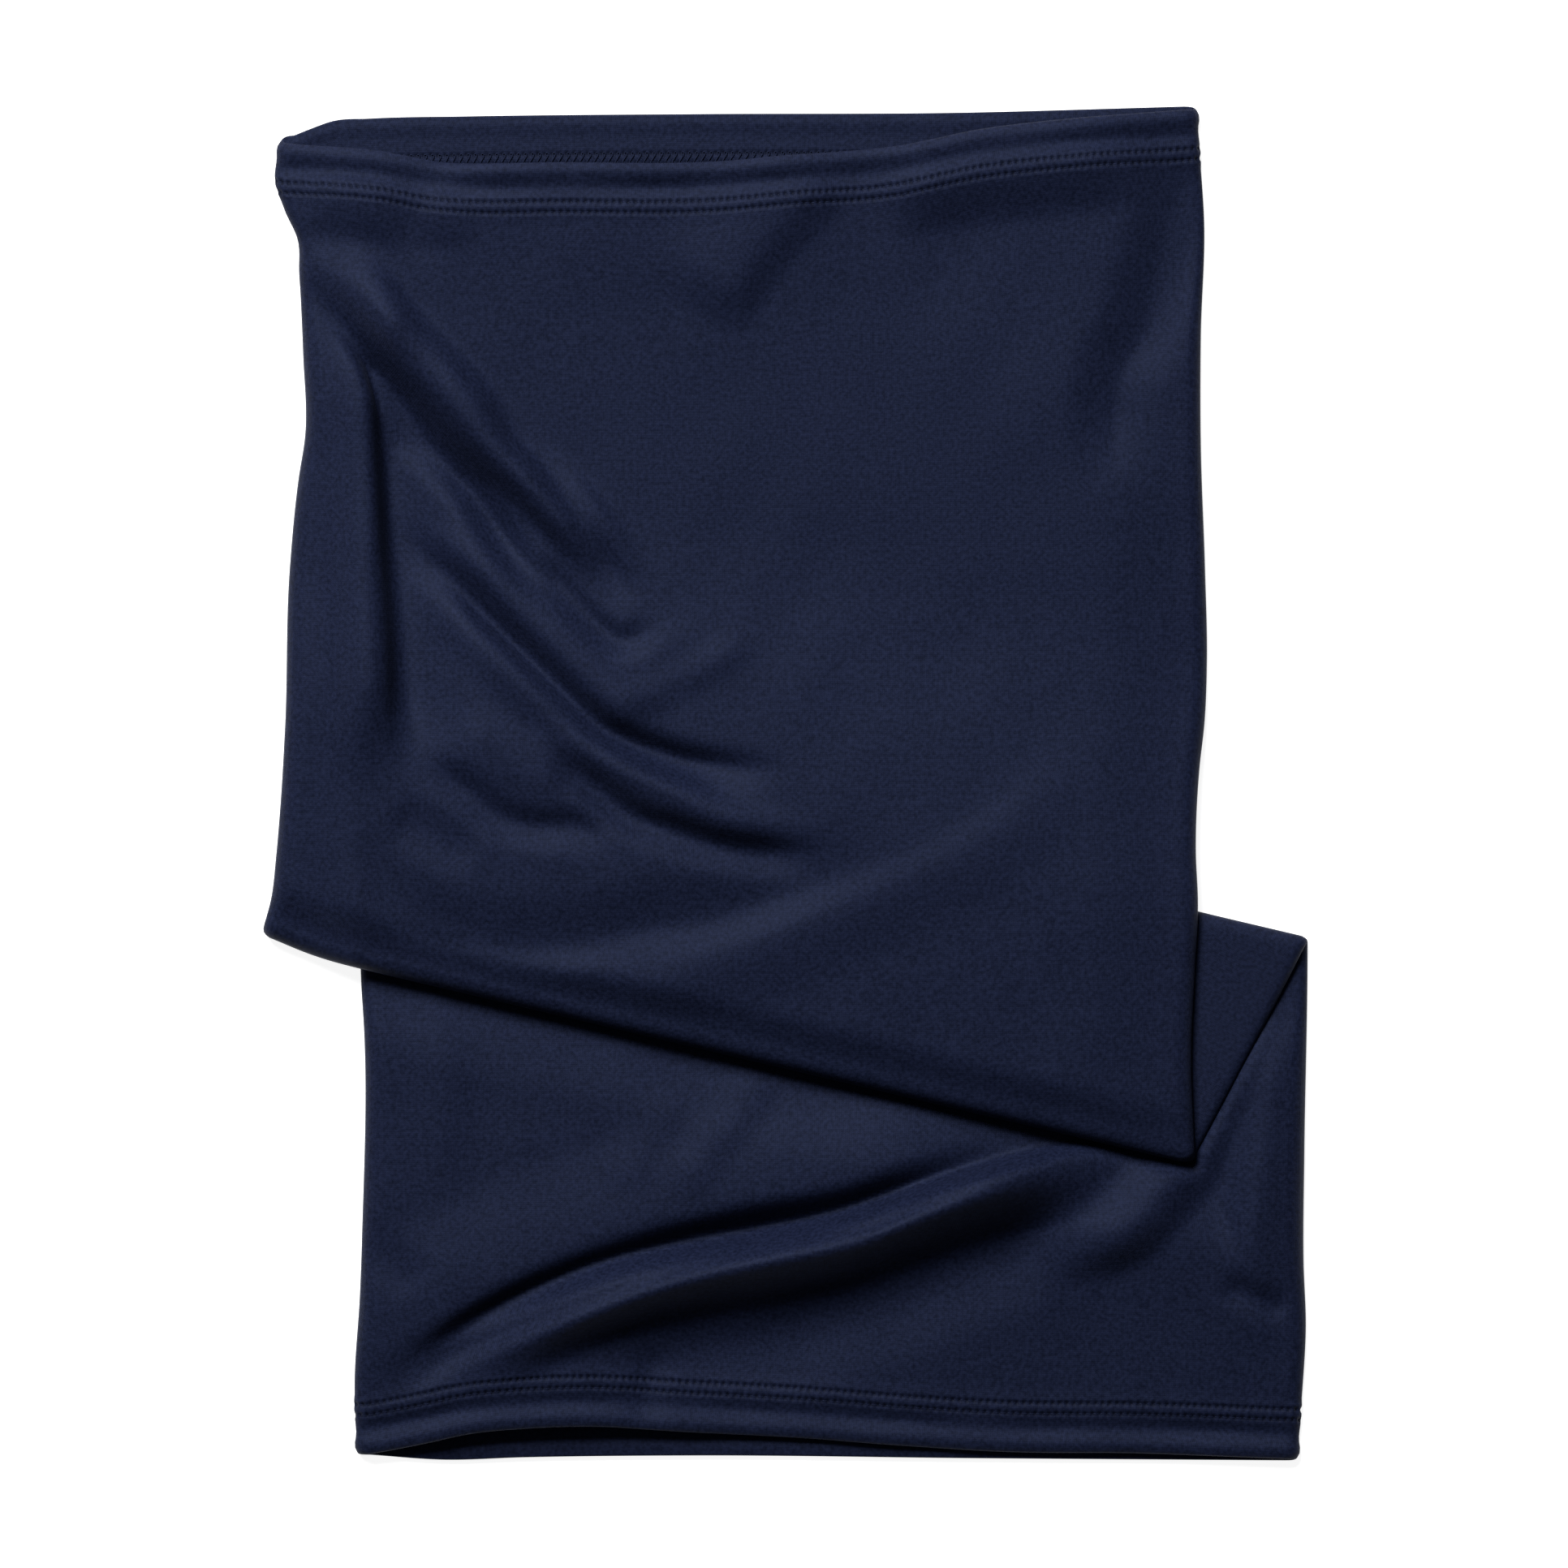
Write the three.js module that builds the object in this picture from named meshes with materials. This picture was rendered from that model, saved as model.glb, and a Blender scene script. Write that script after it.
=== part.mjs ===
// A neck gaiter: a tube of stretch jersey with a twin-needle hem at each mouth and one overlocked
// side seam. It lies flat on a surface and is folded twice across, so that three runs of the tube
// lie on each other in a Z.
//
// Millimetres. X runs across the tube, Y along it towards the upper mouth, Z up from the surface.
// The origin is the centre of the gaiter's footprint, on the surface.
//
// Every piece is a layer of the flat, unfolded tube. A point of it is given by x across the tube,
// `down` from the upper mouth's edge and `off` outwards from the middle of the cloth, and lay()
// puts it where the folded tube holds it.

import * as THREE from "three";

// ---- Driving dimensions ----

const SPAN = 358.6; // from one mouth's edge to the other, as folded
const TUBE_WIDTH = 245; // nominal, laid flat
const CLOTH = 0.7; // thickness of one ply
const GAP = 0.3; // clearance between pieces that touch

const FOLD_TILT = THREE.MathUtils.degToRad(13.3); // the fold lines run down to the right
const FOLD_A = 70; // distance of the upper run's fold line from the origin, along the fold normal
const FOLD_PITCH = 58.8; // between the two fold lines
const RAMP = 50; // length over which the upper run comes down off the stack

const HALF_GAP_FOLDED = 1.3; // middle of a ply to the middle of the tube, where it is pressed flat
const HALF_GAP_MOUTH = 4.5; // the same at the mouths, which gape
const SIDE_ROUND = 3; // half width of the round side folds
const MOUTH_LIFT = 0.75; // room under the hems for the thread on their outer face

const HEM = 12.5; // depth of the turned hem
const NEEDLE_ROWS = [9.8, 12.9]; // from the mouth's edge
const THREAD = 0.4; // thickness of the sewing threads
const NEEDLE_THREAD_WIDTH = 0.7;
const LOOPER_WIDTH = 3.6;

const SEAM_FROM_SIDE = 15; // on the back ply, from the left side fold
const SEAM_WIDTH = 6;
const SEAM_THICK = 1;
const OVERLOCK_WIDTH = 0.6;

// How far the front ply's edge hangs back from the back ply's at each mouth. The deepest place is
// where `skew` puts it: share ** skew is a half there, with share 0 at the left and 1 at the right.
const UPPER_MOUTH = { sag: 13.3, skew: 0.6, wide: 45, closed: 100, cornerDrop: 6.5 };
const LOWER_MOUTH = { sag: 8.8, skew: 0.43, wide: 30, closed: 75, cornerDrop: 1.5 };
const CORNER_LENGTH = 12;

// The side folds, as x against `down`: the cloth flares a little at the folds.
const LEFT_SIDE = new THREE.LinearInterpolant(
  [0, 15, 30, 80, 130, 180, 214, 285, 350, 420, 475, 490],
  [-133.8, -134, -128.4, -127.6, -131.2, -133.4, -138.4, -138.6, -140.9, -141.6, -142.6, -142.2],
  1,
);
const RIGHT_SIDE = new THREE.LinearInterpolant(
  [0, 15, 30, 140, 200, 280, 350, 420, 475, 490],
  [109.2, 110.2, 111.4, 111.3, 109.8, 108.4, 108.6, 107.4, 107, 106.4],
  1,
);

const NAVY = new THREE.Color(0x21263b);

// ---- Derived sizes ----

const HALF_CLOTH = CLOTH / 2;
const FOLDED_HALF = HALF_GAP_FOLDED + HALF_CLOTH; // half the thickness of a pressed run
const RUN_PITCH = 2 * FOLDED_HALF + GAP; // height from one run of the stack to the next
const TURN = RUN_PITCH / 2; // radius of the tube's middle in a fold
const TURN_LENGTH = Math.PI * TURN;
const FOLD_B = FOLD_A - FOLD_PITCH;
const RUN_HEIGHT = [2, 1, 0].map((level) => FOLDED_HALF + level * RUN_PITCH); // upper, middle, lower

// `along` and `across` are the directions of the fold lines and of the cloth over them.
const ALONG = new THREE.Vector2(Math.cos(FOLD_TILT), -Math.sin(FOLD_TILT));
const ACROSS = new THREE.Vector2(-Math.sin(FOLD_TILT), -Math.cos(FOLD_TILT));
const TOP = SPAN / 2;

// Places along the cloth, measured across the folds, where one stretch of it ends.
const A_ENDS = FOLD_A + TURN_LENGTH;
const B_STARTS = A_ENDS + FOLD_PITCH;
const B_ENDS = B_STARTS + TURN_LENGTH;
const FOLDED_AWAY = B_ENDS - FOLD_B; // how much nearer the lower run is than if it were unfolded
const LENGTH = SPAN + FOLDED_AWAY * Math.cos(FOLD_TILT);

// ---- Laying a point of the flat tube ----

const smoothstep = THREE.MathUtils.smoothstep;
const lerp = THREE.MathUtils.lerp;

function sideShare(x) {
  return THREE.MathUtils.clamp(x / TUBE_WIDTH + 0.5, 0, 1);
}

// 1 at a mouth, falling to 0 where the tube is pressed flat.
function gape(down) {
  const fromLower = LENGTH - down;
  const upper = 1 - smoothstep(down, UPPER_MOUTH.wide, UPPER_MOUTH.closed);
  const lower = 1 - smoothstep(fromLower, LOWER_MOUTH.wide, LOWER_MOUTH.closed);
  return Math.max(upper, lower);
}

// How far a point near a mouth moves away from it: the front ply sags, and the corner is low.
function mouthShift(share, down, front) {
  const upper = down < LENGTH / 2;
  const mouth = upper ? UPPER_MOUTH : LOWER_MOUTH;
  const sag = mouth.sag * Math.sin(Math.PI * share ** mouth.skew) * Math.max(front, 0);
  const corner = mouth.cornerDrop * Math.exp((-share * TUBE_WIDTH) / CORNER_LENGTH);
  return (upper ? 1 : -1) * (sag + corner) * gape(down);
}

// The middle of the tube at a place `b` across the folds: where it lies and which way it faces.
function middleOfTube(b, down) {
  const open = gape(down);
  const onSurface = lerp(HALF_GAP_FOLDED, HALF_GAP_MOUTH, open) + HALF_CLOTH + open * MOUTH_LIFT;
  if (b < FOLD_A) {
    const clear = FOLD_B - TURN - FOLDED_HALF;
    const climb = smoothstep(b, clear - RAMP, clear);
    return { b, z: lerp(onSurface, RUN_HEIGHT[0], climb), normal: [0, 1] };
  }
  if (b < A_ENDS) {
    const angle = Math.PI / 2 - (b - FOLD_A) / TURN;
    const [c, s] = [Math.cos(angle), Math.sin(angle)];
    return { b: FOLD_A + TURN * c, z: RUN_HEIGHT[1] + TURN + TURN * s, normal: [c, s] };
  }
  if (b < B_STARTS) return { b: FOLD_A - (b - A_ENDS), z: RUN_HEIGHT[1], normal: [0, -1] };
  if (b < B_ENDS) {
    const angle = Math.PI / 2 + (b - B_STARTS) / TURN;
    const [c, s] = [Math.cos(angle), Math.sin(angle)];
    return { b: FOLD_B + TURN * c, z: RUN_HEIGHT[2] + TURN + TURN * s, normal: [-c, -s] };
  }
  return { b: b - FOLDED_AWAY, z: onSurface, normal: [0, 1] };
}

// x across the nominal tube, `down` from the upper mouth, `front` from -1 on the back ply through 0
// at a side fold to 1 on the front ply, and `off` outwards from the middle of the cloth.
function lay(x, down, front, off) {
  const share = sideShare(x);
  const moved = down + mouthShift(share, down, front);
  const side = lerp(LEFT_SIDE.evaluate(down)[0], RIGHT_SIDE.evaluate(down)[0], share);
  const beyond = x - (share - 0.5) * TUBE_WIDTH;
  const flat = new THREE.Vector2(side + beyond, TOP - moved);
  const middle = middleOfTube(flat.dot(ACROSS), down);
  const half = lerp(HALF_GAP_FOLDED, HALF_GAP_MOUTH, gape(down));
  const height = front * (half + off);
  const place = ALONG.clone().multiplyScalar(flat.dot(ALONG));
  place.addScaledVector(ACROSS, middle.b + height * middle.normal[0]);
  return new THREE.Vector3(place.x, place.y, middle.z + height * middle.normal[1]);
}

// ---- Rows: lines across the tube that the extrusions are cut into ----

const rowAcross = (down) => () => down;
const rowAlongFold = (b) => (x) => {
  const share = sideShare(x);
  const down = (flatX) => TOP + (b - flatX * ACROSS.x) / -ACROSS.y;
  let found = down(x);
  for (let i = 0; i < 4; i += 1) {
    found = down(lerp(LEFT_SIDE.evaluate(found)[0], RIGHT_SIDE.evaluate(found)[0], share));
  }
  return found;
};

const spread = (from, to, steps) =>
  Array.from({ length: steps + 1 }, (_, i) => lerp(from, to, i / steps));

const HEM_BAND = 15; // the cloth is straight from the mouth's edge this far, past the hem
const NEAR_FOLD = 8; // from a fold to the end of the middle run
const RAMP_TOP = FOLD_B - TURN - FOLDED_HALF;

const upperRows = [
  ...[0, HEM_BAND, ...spread(UPPER_MOUTH.wide, UPPER_MOUTH.closed, 4)].map(rowAcross),
  ...spread(RAMP_TOP - RAMP, RAMP_TOP, 6).map(rowAlongFold),
  rowAlongFold(FOLD_A - NEAR_FOLD),
];
const middleRows = [
  rowAlongFold(FOLD_A - NEAR_FOLD + GAP),
  ...spread(FOLD_A, A_ENDS, 8).map(rowAlongFold),
  ...spread(B_STARTS, B_ENDS, 8).map(rowAlongFold),
  rowAlongFold(B_ENDS + NEAR_FOLD),
];
const lowerRows = [
  rowAlongFold(B_ENDS + NEAR_FOLD + GAP),
  rowAlongFold(B_ENDS + FOLD_PITCH + TURN + FOLDED_HALF),
  ...spread(LENGTH - LOWER_MOUTH.closed, LENGTH - LOWER_MOUTH.wide, 4).map(rowAcross),
  ...[LENGTH - HEM_BAND, LENGTH].map(rowAcross),
];

// ---- Pieces ----

const STRAIGHT = TUBE_WIDTH / 2 - SIDE_ROUND; // from the middle to where a side fold starts
const SEAM_NEAR = -TUBE_WIDTH / 2 + SEAM_FROM_SIDE;
const SEAM_FAR = SEAM_NEAR + SEAM_WIDTH;
const OVERLOCK_NEAR = SEAM_FAR + GAP;
const OVERLOCK_FAR = OVERLOCK_NEAR + OVERLOCK_WIDTH;
const PLY_STEPS = 7; // of each ply, from the seam to the right side fold
const SIDE_STEPS = 4; // of each side fold

// A station of the tube's section: x, how far it faces sideways, and how far it faces the front.
const onPly = (front) => (x) => ({ x, sideways: 0, front });
const onSide = (x) => (angle) => ({ x, sideways: Math.cos(angle), front: Math.sin(angle) });

// Both plies are cut at the seam's own edges, so that the seam stays clear of them all along.
const plyStations = [
  SEAM_NEAR,
  SEAM_FAR,
  OVERLOCK_NEAR,
  ...spread(OVERLOCK_FAR, STRAIGHT, PLY_STEPS).slice(0, -1),
];
const quarter = Math.PI / 2;
const aroundTube = [
  ...plyStations.map(onPly(-1)),
  ...spread(-quarter, quarter, SIDE_STEPS).map(onSide(STRAIGHT)),
  ...plyStations.toReversed().map(onPly(1)),
  ...spread(quarter, 3 * quarter, SIDE_STEPS).map(onSide(-STRAIGHT)),
];

// A layer of the tube between the offsets `inner` and `outer`, over the stations and the rows
// given. It closes on itself when it goes right round, and has side walls when it does not.
function layer(name, stations, closed, inner, outer, rows, material) {
  const laid = rows.flatMap((row) =>
    stations.flatMap(({ x, sideways, front }) =>
      [inner, outer].map((off) => {
        const across = x + sideways * (SIDE_ROUND + off);
        return lay(across, row(across), front, off).toArray();
      }),
    ),
  );
  const corner = (row, station, face) =>
    2 * (row * stations.length + (station % stations.length)) + face;
  const index = [];
  const quad = (p, q, r, s) => index.push(p, r, q, p, s, r);
  const steps = closed ? stations.length : stations.length - 1;
  const last = rows.length - 1;
  for (let u = 0; u < steps; u += 1) {
    for (let v = 0; v < last; v += 1) {
      quad(corner(v, u, 1), corner(v + 1, u, 1), corner(v + 1, u + 1, 1), corner(v, u + 1, 1));
      quad(corner(v, u, 0), corner(v, u + 1, 0), corner(v + 1, u + 1, 0), corner(v + 1, u, 0));
    }
    quad(corner(0, u, 0), corner(0, u, 1), corner(0, u + 1, 1), corner(0, u + 1, 0));
    quad(corner(last, u, 1), corner(last, u, 0), corner(last, u + 1, 0), corner(last, u + 1, 1));
  }
  for (let v = 0; v < last && !closed; v += 1) {
    quad(corner(v, 0, 0), corner(v + 1, 0, 0), corner(v + 1, 0, 1), corner(v, 0, 1));
    quad(corner(v, steps, 1), corner(v + 1, steps, 1), corner(v + 1, steps, 0), corner(v, steps, 0));
  }
  const geometry = new THREE.BufferGeometry();
  geometry.setAttribute("position", new THREE.Float32BufferAttribute(laid.flat(), 3));
  geometry.setIndex(index);
  geometry.computeVertexNormals();
  const mesh = new THREE.Mesh(geometry, material);
  mesh.name = name;
  return mesh;
}

const sleeve = (name, inner, outer, rows, material) =>
  layer(name, aroundTube, true, inner, outer, rows, material);

// A strip that lies inside the tube on the back ply.
function strip(name, near, far, rows, material) {
  const outer = -HALF_CLOTH - GAP;
  return layer(name, [near, far].map(onPly(-1)), false, outer - SEAM_THICK, outer, rows, material);
}

function fabric(lightness, roughness) {
  const color = NAVY.clone().multiplyScalar(lightness);
  return new THREE.MeshStandardMaterial({ color, roughness, metalness: 0 });
}

const jersey = fabric(1, 0.8);
const thread = fabric(1.15, 0.6);

// The jersey tube, a node for each run of the Z.
function tube() {
  const runs = [
    ["tube_upper_run", upperRows],
    ["tube_middle_run", middleRows],
    ["tube_lower_run", lowerRows],
  ];
  return runs.map(([name, rows]) => sleeve(name, -HALF_CLOTH, HALF_CLOTH, rows, jersey));
}

// One hem: the turned ply, two rows of needle thread outside and the looper thread inside.
function hem(name, fromEdge) {
  const ring = (piece, inner, outer, near, far, material) => {
    const rows = [near, far].map(fromEdge).sort((a, b) => a - b).map(rowAcross);
    return sleeve(`${name}_${piece}`, inner, outer, rows, material);
  };
  const plyOuter = -HALF_CLOTH - GAP;
  const plyInner = plyOuter - CLOTH;
  const onFace = HALF_CLOTH + GAP;
  const middle = (NEEDLE_ROWS[0] + NEEDLE_ROWS[1]) / 2;
  const needles = NEEDLE_ROWS.map((row, i) => {
    const [near, far] = [row - NEEDLE_THREAD_WIDTH / 2, row + NEEDLE_THREAD_WIDTH / 2];
    return ring(`needle_thread_${i + 1}`, onFace, onFace + THREAD, near, far, thread);
  });
  const looperOuter = plyInner - GAP;
  const [near, far] = [middle - LOOPER_WIDTH / 2, middle + LOOPER_WIDTH / 2];
  return [
    ring("turned_ply", plyInner, plyOuter, 0, HEM, jersey),
    ...needles,
    ring("looper_thread", looperOuter - THREAD, looperOuter, near, far, thread),
  ];
}

// The side seam's allowance and the overlock thread along its cut edge, from hem to hem.
function sideSeam() {
  const rows = [
    rowAcross(HEM + GAP),
    ...upperRows.slice(1, -1),
    ...middleRows.slice(1, -1),
    ...lowerRows.slice(1, -1),
    rowAcross(LENGTH - HEM - GAP),
  ];
  return [
    strip("side_seam_allowance", SEAM_NEAR, SEAM_FAR, rows, jersey),
    strip("side_seam_overlock_thread", OVERLOCK_NEAR, OVERLOCK_FAR, rows, thread),
  ];
}

const gaiter = new THREE.Group();
gaiter.name = "neck_gaiter";
gaiter.add(...tube());
gaiter.add(...hem("upper_hem", (distance) => distance));
gaiter.add(...hem("lower_hem", (distance) => LENGTH - distance));
gaiter.add(...sideSeam());

// The footprint's centre is the origin, and the lowest face lies on the surface.
const box = new THREE.Box3().setFromObject(gaiter, true);
const centre = box.getCenter(new THREE.Vector3());
gaiter.position.set(-centre.x, -centre.y, -box.min.z);

export default gaiter;
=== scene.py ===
"""A navy neck gaiter: one tube of stretch jersey, laid flat and folded twice across in a Z.

The cloth is one closed sheet, turned in at both mouths to make the hems. Every point of it is given
by tau round the tube, `down` along it from the upper mouth, and `off` outwards from the middle of
the cloth. surface() puts such a point where the folded gaiter holds it, so the cloth, the stitches
and the seam all follow the same folds and creases. Lengths are in millimetres until a mesh is made.
"""

import math

import bpy
import numpy as np
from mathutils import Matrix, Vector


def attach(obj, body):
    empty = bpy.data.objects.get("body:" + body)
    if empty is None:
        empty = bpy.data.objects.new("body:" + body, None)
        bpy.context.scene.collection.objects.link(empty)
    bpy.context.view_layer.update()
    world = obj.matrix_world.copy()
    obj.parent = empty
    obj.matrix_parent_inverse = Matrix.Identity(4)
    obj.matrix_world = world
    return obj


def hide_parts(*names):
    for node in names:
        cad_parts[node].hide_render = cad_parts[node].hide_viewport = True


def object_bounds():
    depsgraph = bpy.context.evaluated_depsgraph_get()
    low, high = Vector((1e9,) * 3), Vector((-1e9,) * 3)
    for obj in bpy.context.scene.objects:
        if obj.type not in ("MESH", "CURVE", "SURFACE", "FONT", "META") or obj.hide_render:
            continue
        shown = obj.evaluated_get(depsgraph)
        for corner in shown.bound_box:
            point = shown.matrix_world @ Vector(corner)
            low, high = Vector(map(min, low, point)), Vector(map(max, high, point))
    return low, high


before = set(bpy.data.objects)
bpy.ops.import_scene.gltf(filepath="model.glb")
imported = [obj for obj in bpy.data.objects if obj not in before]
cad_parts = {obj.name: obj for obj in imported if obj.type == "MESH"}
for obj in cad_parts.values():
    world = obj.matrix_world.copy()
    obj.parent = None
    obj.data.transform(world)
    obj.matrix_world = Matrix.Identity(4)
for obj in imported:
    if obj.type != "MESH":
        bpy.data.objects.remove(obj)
cad_low, cad_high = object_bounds()
MM = 0.001

# ---- Sizes, in millimetres ----

SPAN = (cad_high.y - cad_low.y) / MM
TOP = SPAN / 2  # the page's y at the upper mouth
CLOTH = 0.6
HALF_CLOTH = CLOTH / 2
PLY_WIDTH = 240  # about how wide a ply is, to turn shares across it into lengths and back
FLOOR_CLEAR = 0.15  # between the floor and the cloth on it

FOLD_TILT = math.radians(13.2)
TURN = 1.6  # radius of the tube's middle in a fold
PRESSED_HALF = 1.0  # from the tube's middle to the middle of a ply, where it is pressed
UPPER_LOOSE = 4.3  # how much further the plies part where the upper run lies free
LOWER_LOOSE = 3.6  # where the lower run does
ROLL_LOOSE = 1.4  # and in the roll of the lower fold
ROLL_REACH = 11  # from the fold to where the roll begins
FOLD_REACH = TURN + PRESSED_HALF + HALF_CLOTH
FOLD_A = 73.4 - FOLD_REACH - ROLL_LOOSE  # lower fold, measured across the folds from the origin
FOLD_B = 7.8 + FOLD_REACH  # upper fold, hidden under the upper run
RAMP = 75  # length over which the upper run comes down off the stack
RAMP_OVERLAP = 8  # how far the ramp begins over the stack

HEM = 13.6  # depth of the turned hem
HEM_GAP = 0.12  # between the hem's two plies
NEEDLE_ROWS = (10.1, 12.9)  # from the mouth's edge
STITCH = 1.9
NEEDLE_THREAD = 0.19  # radius
LOOPER_THREAD = 0.17

SEAM_SHARE = 0.062  # place of the side seam across the back ply, from the left
SEAM_WIDTH = 5.5
OVERLOCK_THREAD = 0.14  # radius

PLY_STEPS = 146  # of the cloth's mesh, across a ply
SIDE_STEPS = 8  # and round a side fold
FINE = 4  # how many times finer it is round the tube at the needle rows

# The side folds of the unfolded tube, as (down, x).
LEFT_SIDE = [
    (0, -133.4),
    (10, -134.7),
    (18, -132.4),
    (26, -128.9),
    (36, -128.4),
    (60, -127.4),
    (86, -126.9),
    (98, -128.6),
    (122, -130.9),
    (165, -132.0),
    (200, -134.6),
    (212, -136.2),
    (222, -138.9),
    (289, -140.0),
    (357, -140.9),
    (368, -140.2),
    (422, -140.7),
    (439, -141.3),
    (465, -142.7),
    (484, -141.8),
]
RIGHT_SIDE = [
    (0, 109.2),
    (12, 110.1),
    (30, 111.3),
    (60, 110.4),
    (90, 110.4),
    (122, 111.5),
    (147, 112.0),
    (163, 111.3),
    (175, 109.9),
    (197, 108.8),
    (211, 109.3),
    (229, 108.4),
    (251, 107.5),
    (277, 108.4),
    (348, 109.8),
    (400, 108.9),
    (430, 108.7),
    (447, 109.3),
    (465, 108.3),
    (484, 106.8),
]

# How far each ply's edge hangs back from the mouth's outermost point, as (share across, distance).
UPPER_FRONT_EDGE = [
    (0, 9.9),
    (0.09, 11.8),
    (0.16, 14.6),
    (0.3, 15.1),
    (0.49, 14.6),
    (0.55, 13.3),
    (0.69, 10.3),
    (0.78, 6.0),
    (0.88, 3.2),
    (1, 0.8),
]
UPPER_BACK_EDGE = [
    (0, 7.4),
    (0.02, 5.4),
    (0.04, 3.6),
    (0.08, 2.9),
    (0.19, 2.3),
    (0.45, 1.7),
    (0.76, 1.3),
    (1, -0.3),
]
LOWER_FRONT_EDGE = [
    (0, 1.9),
    (0.03, 3.4),
    (0.06, 5.1),
    (0.1, 7.3),
    (0.16, 8.8),
    (0.24, 9.4),
    (0.34, 7.9),
    (0.48, 6.0),
    (0.57, 4.3),
    (0.7, 2.4),
    (0.83, 2.1),
    (1, 0.6),
]
LOWER_BACK_EDGE = [(0, 1.5), (0.07, 0.2), (0.16, 0.8), (0.36, 1.3), (0.65, 0.6), (1, 0)]

# How far the front ply stands off the back ply at each mouth, as (share across, height).
UPPER_MOUTH_HEIGHT = [(0, 3.6), (0.1, 5.5), (0.25, 7.6), (0.5, 7.4), (0.75, 5.2), (1, 3.0)]
LOWER_MOUTH_HEIGHT = [(0, 3.4), (0.1, 5.8), (0.25, 6.0), (0.4, 3.6), (0.6, 3.0), (1, 2.8)]

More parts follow.
